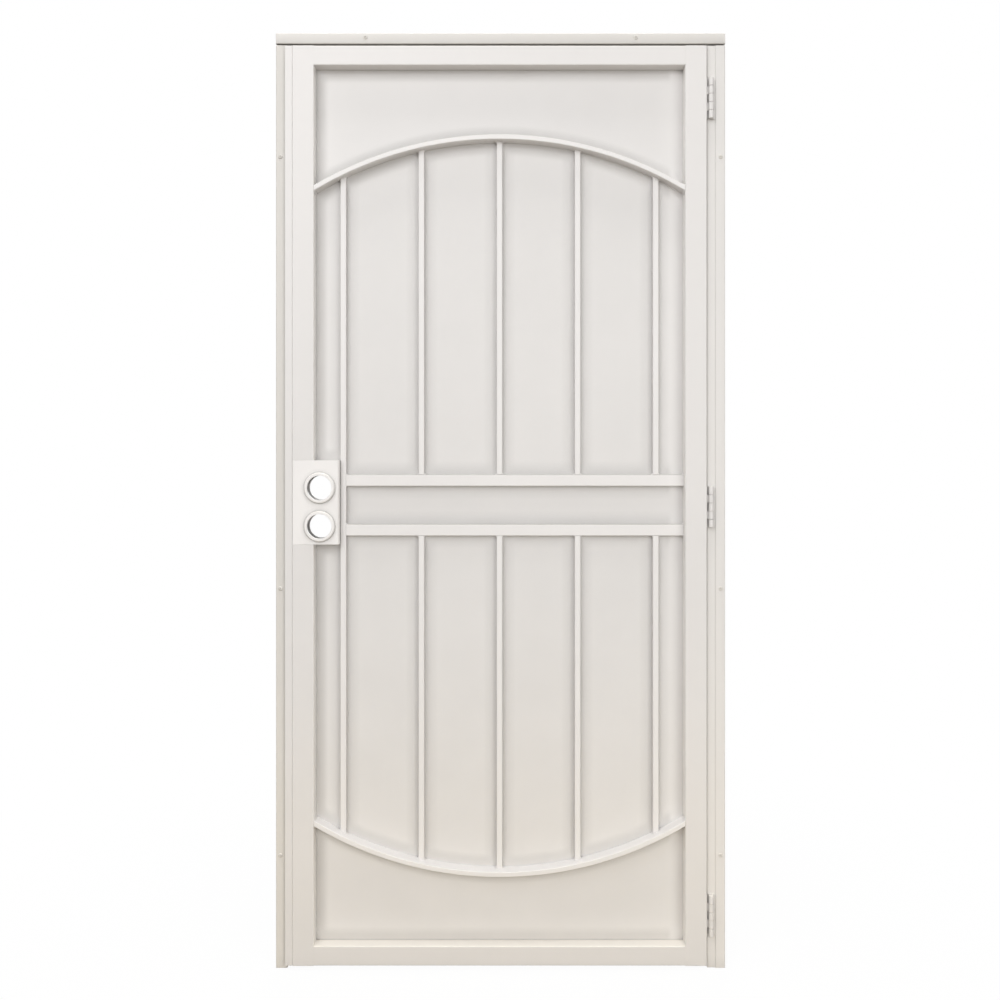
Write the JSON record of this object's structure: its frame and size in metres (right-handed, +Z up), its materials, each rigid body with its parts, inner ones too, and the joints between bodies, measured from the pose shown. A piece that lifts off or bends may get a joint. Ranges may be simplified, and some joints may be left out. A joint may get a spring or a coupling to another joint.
{
  "type": "steel security screen door",
  "caption": "Surface-mounted steel security screen door: jamb set and outward-swinging leaf with arched bar grille, perforated screen and cross-bored lock box.",
  "frame": {"origin": "on the wall, at the foot of the hinge jamb's back face, straight behind the hinge axis", "axes": "+Z up along the jambs, +Y into the wall, +X along the wall to the hinge side; the outside of the door faces -Y"},
  "size_m": [0.9906, 0.0432, 2.061],
  "materials": {
    "jamb_paint": "almond powder coat, satin",
    "frame_paint": "almond powder coat, satin",
    "grille_paint": "almond powder coat, satin",
    "lock_paint": "almond powder coat, satin",
    "hinge_paint": "almond powder coat, satin",
    "clip_paint": "almond powder coat, satin",
    "screen_paint": "almond powder coat on perforated sheet, satin"
  },
  "bodies": {
    "jamb_set": {"bottom_hinge_jamb_leaf": "hinge_paint", "header": "jamb_paint", "hinge_jamb": "jamb_paint", "latch_jamb": "jamb_paint", "middle_hinge_jamb_leaf": "hinge_paint", "top_hinge_jamb_leaf": "hinge_paint"},
    "leaf": {"bottom_arch": "grille_paint", "bottom_hinge_door_leaf": "hinge_paint", "bottom_rail": "frame_paint", "hinge_stile": "frame_paint", "latch_guard": "frame_paint", "latch_stile": "frame_paint", "lock_bar": "grille_paint", "lock_box": "lock_paint", "lower_bar_1": "grille_paint", "lower_bar_2": "grille_paint", "lower_bar_3": "grille_paint", "lower_bar_4": "grille_paint", "lower_mid_rail": "grille_paint", "middle_hinge_door_leaf": "hinge_paint", "screen": "screen_paint", "screen_clips": "clip_paint", "stile_end_caps": "frame_paint", "top_arch": "grille_paint", "top_hinge_door_leaf": "hinge_paint", "top_rail": "frame_paint", "upper_bar_1": "grille_paint", "upper_bar_2": "grille_paint", "upper_bar_3": "grille_paint", "upper_bar_4": "grille_paint", "upper_mid_rail": "grille_paint"}
  },
  "joints": [
    {"name": "leaf_swing", "type": "hinge", "parent": "jamb_set", "child": "leaf", "pos_m": [0, -0.0365, 1.0165], "axis": [0, 0, 1], "range_deg": [0, 180]}
  ]
}
